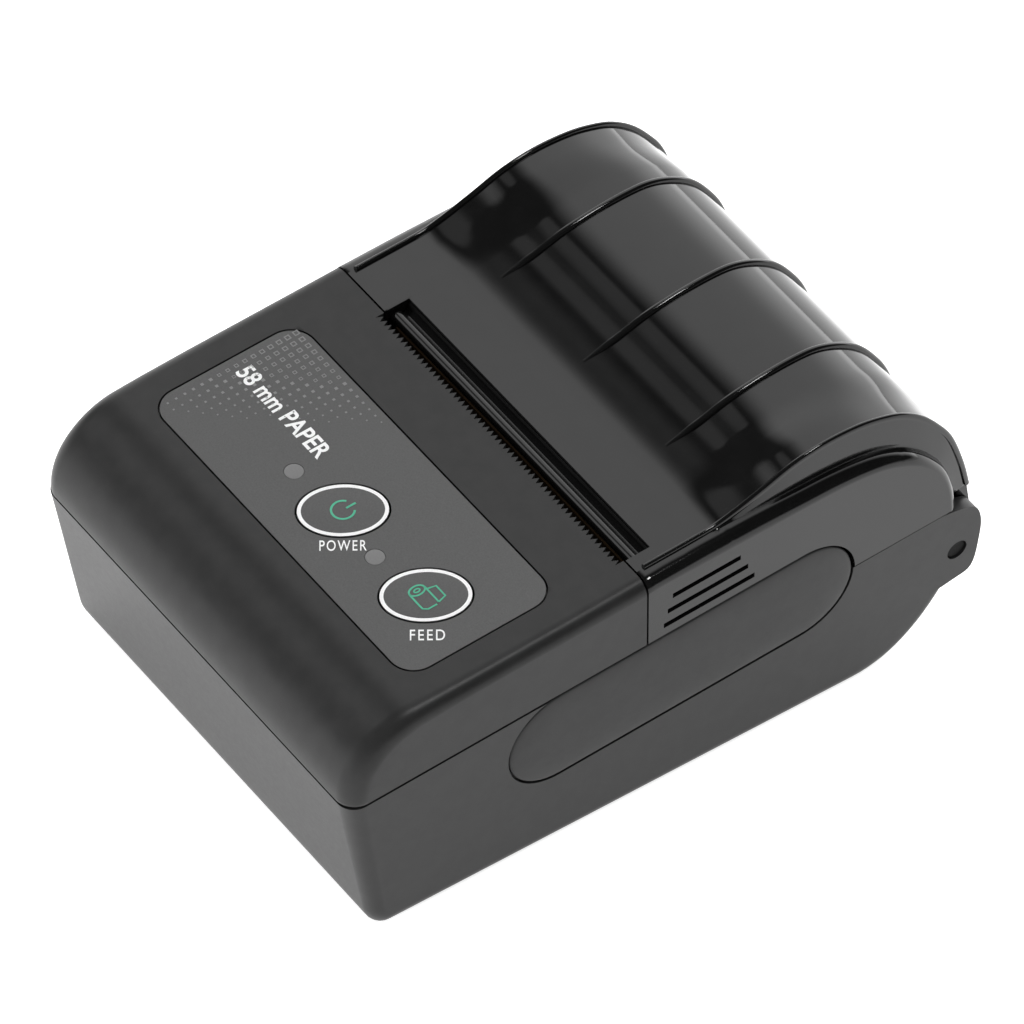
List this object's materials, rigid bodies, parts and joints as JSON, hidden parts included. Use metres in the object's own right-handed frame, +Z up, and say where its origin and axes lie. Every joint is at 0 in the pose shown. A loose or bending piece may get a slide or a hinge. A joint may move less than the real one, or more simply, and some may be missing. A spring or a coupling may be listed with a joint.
{
  "type": "receipt printer",
  "caption": "Pocket thermal receipt printer: sloped case, two-key film panel, tear teeth, flip-up ribbed paper cover and long side grips.",
  "frame": {"origin": "middle of the printer's box on the surface that it stands on", "axes": "+X to the printer's right seen from the control panel end, +Y from the control panel to the cover's hinge, +Z up"},
  "size_m": [0.0788, 0.1176, 0.0568],
  "materials": {
    "case_plastic": "fine matte texture",
    "grip_plastic": "smooth satin",
    "cover_gloss": "polished smoked black",
    "panel_film": "matte printed film",
    "window_plastic": "smoked lens",
    "inner_plastic": "moulded black",
    "steel": "bright steel",
    "aluminium": "milled",
    "head_glaze": "glazed ceramic strip",
    "platen_rubber": "ground rubber",
    "gear_plastic": "natural acetal",
    "brass": "turned brass",
    "circuit_board": "green solder mask",
    "connector_plastic": "ivory nylon",
    "flex_film": "amber film",
    "battery_wrap": "blue shrink wrap"
  },
  "bodies": {
    "case": {"lower_case": "case_plastic", "front_cover": "case_plastic", "battery_door": "case_plastic", "grip_left": "grip_plastic", "grip_right": "grip_plastic", "label_panel": "panel_film", "power_window": "window_plastic", "status_window": "window_plastic", "mech_frame": "inner_plastic", "paper_bucket": "inner_plastic", "paper_sensor": "inner_plastic", "processor": "inner_plastic", "hinge_pin_left": "steel", "hinge_pin_right": "steel", "idler_axle": "steel", "head_spring_left": "steel", "head_spring_right": "steel", "radio_module": "steel", "usb_socket": "steel", "stepper_motor": "steel", "case_screw_1": "steel", "case_screw_2": "steel", "case_screw_3": "steel", "case_screw_4": "steel", "mech_screw_1": "steel", "mech_screw_2": "steel", "key_board_screw_1": "steel", "key_board_screw_2": "steel", "door_screw": "steel", "head_heatsink": "aluminium", "print_head": "head_glaze", "main_board": "circuit_board", "key_board": "circuit_board", "head_connector": "connector_plastic", "battery_connector": "connector_plastic", "power_led": "connector_plastic", "status_led": "connector_plastic", "power_switch": "connector_plastic", "feed_switch": "connector_plastic", "head_ribbon": "flex_film", "battery_pack": "battery_wrap"},
    "paper_cover": {"paper_cover": "cover_gloss", "exit_lip": "cover_gloss", "platen_holder": "inner_plastic", "platen_bush_left": "gear_plastic", "platen_bush_right": "gear_plastic"},
    "platen": {"platen_rubber": "platen_rubber", "platen_shaft": "steel", "platen_gear": "gear_plastic"},
    "idler": {"idler_gear": "gear_plastic"},
    "motor_rotor": {"motor_pinion": "brass"},
    "power_key": {"power_key": "panel_film"},
    "feed_key": {"feed_key": "panel_film"}
  },
  "joints": [
    {"name": "paper_cover_hinge", "type": "hinge", "parent": "case", "child": "paper_cover", "pos_m": [0, 0.05429, 0.01953], "axis": [-1, 0, 0], "range_deg": [0, 95]},
    {"name": "platen_spin", "type": "hinge", "parent": "paper_cover", "child": "platen", "pos_m": [0, -0.00026, 0.03997], "axis": [1, 0, 0], "continuous": true},
    {"name": "idler_spin", "type": "hinge", "parent": "case", "child": "idler", "pos_m": [0, -0.00432, 0.02916], "axis": [1, 0, 0], "continuous": true},
    {"name": "motor_spin", "type": "hinge", "parent": "case", "child": "motor_rotor", "pos_m": [0, -0.00829, 0.02102], "axis": [1, 0, 0], "continuous": true},
    {"name": "power_key_press", "type": "slide", "parent": "case", "child": "power_key", "axis": [0, 0.0698, -0.9976], "range_m": [0, 0.0004], "stiffness_N_per_m": 2000, "springref_m": -0.0003},
    {"name": "feed_key_press", "type": "slide", "parent": "case", "child": "feed_key", "axis": [0, 0.0698, -0.9976], "range_m": [0, 0.0004], "stiffness_N_per_m": 2000, "springref_m": -0.0003}
  ],
  "couplings": [
    {"joint": "idler_spin", "follows": "platen_spin", "ratio": -0.91667},
    {"joint": "motor_spin", "follows": "platen_spin", "ratio": 1.8333}
  ]
}
